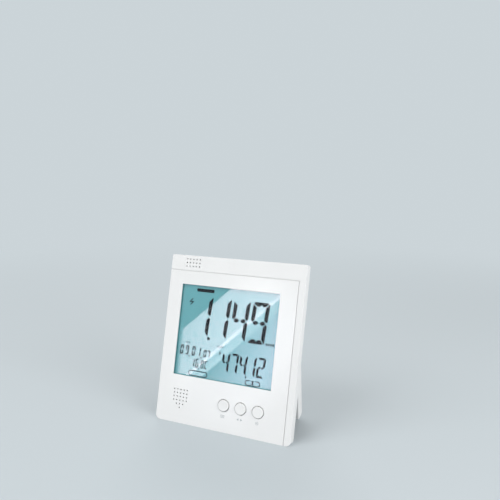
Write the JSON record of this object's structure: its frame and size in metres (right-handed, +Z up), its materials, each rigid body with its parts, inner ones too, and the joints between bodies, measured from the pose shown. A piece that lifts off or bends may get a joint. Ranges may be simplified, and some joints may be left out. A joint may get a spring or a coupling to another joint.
{
  "type": "energy monitor",
  "caption": "Leaning desktop energy display: white case, large LCD behind a clear window, front push buttons, rear battery bay with a lift-off door and a fold-out stand.",
  "frame": {"origin": "on the table under the middle of the case's width and of the whole object's depth", "axes": "+X to the right as seen from the front, +Y to the back, +Z up; the display faces -Y and leans back"},
  "size_m": [0.11, 0.0538, 0.1246],
  "materials": {
    "shell_white": "fine satin texture, moulded",
    "panel_white": "gloss, moulded",
    "clear_window": "clear polished acrylic",
    "polariser": "grey-green film",
    "display_glass": "thin polished glass",
    "reflector_foil": "brushed foil",
    "inner_plastic": "plain moulded",
    "contact_rubber": "silicone",
    "board_green": "solder resist",
    "black_resin": "moulded resin",
    "steel": "zinc plated",
    "wire_red": "insulation",
    "brass_disc": "thin sheet",
    "button_white": "satin, moulded",
    "cell_jacket": "printed film on a metal can",
    "nickel": "nickel plated"
  },
  "bodies": {
    "case": {"front_shell": "shell_white", "front_panel": "panel_white", "display_window": "clear_window", "lcd_polariser": "polariser", "lcd_front_glass": "display_glass", "lcd_rear_glass": "display_glass", "lcd_reflector": "reflector_foil", "lcd_holder": "inner_plastic", "upper_contact_strip": "contact_rubber", "lower_contact_strip": "contact_rubber", "main_board": "board_green", "controller_chip": "black_resin", "receiver_board": "board_green", "receiver_crystal": "steel", "antenna_wire": "wire_red", "buzzer_case": "black_resin", "buzzer_disc": "brass_disc", "temperature_sensor": "black_resin", "left_switch": "black_resin", "middle_switch": "black_resin", "right_switch": "black_resin", "rear_shell": "shell_white", "lower_cell": "cell_jacket", "middle_cell": "cell_jacket", "upper_cell": "cell_jacket", "battery_springs": "nickel", "battery_plates": "nickel", "case_screws": "steel", "board_screws": "steel"},
    "left_key": {"left_button": "button_white", "left_plunger": "black_resin"},
    "middle_key": {"middle_button": "button_white", "middle_plunger": "black_resin"},
    "right_key": {"right_button": "button_white", "right_plunger": "black_resin"},
    "stand": {"stand": "shell_white"},
    "door": {"battery_door": "shell_white"}
  },
  "joints": [
    {"name": "left_press", "type": "slide", "parent": "case", "child": "left_key", "axis": [0, 0.9659, -0.2588], "range_m": [0, 0.00035], "stiffness_N_per_m": 2000},
    {"name": "middle_press", "type": "slide", "parent": "case", "child": "middle_key", "axis": [0, 0.9659, -0.2588], "range_m": [0, 0.00035], "stiffness_N_per_m": 2000},
    {"name": "right_press", "type": "slide", "parent": "case", "child": "right_key", "axis": [0, 0.9659, -0.2588], "range_m": [0, 0.00035], "stiffness_N_per_m": 2000},
    {"name": "stand_fold", "type": "hinge", "parent": "case", "child": "stand", "pos_m": [0, 0.00929, 0.06877], "axis": [-1, 0, 0], "range_deg": [0, 22.5]},
    {"name": "door_lift", "type": "slide", "parent": "case", "child": "door", "axis": [0, 0.9659, -0.2588], "range_m": [0, 0.035]}
  ]
}
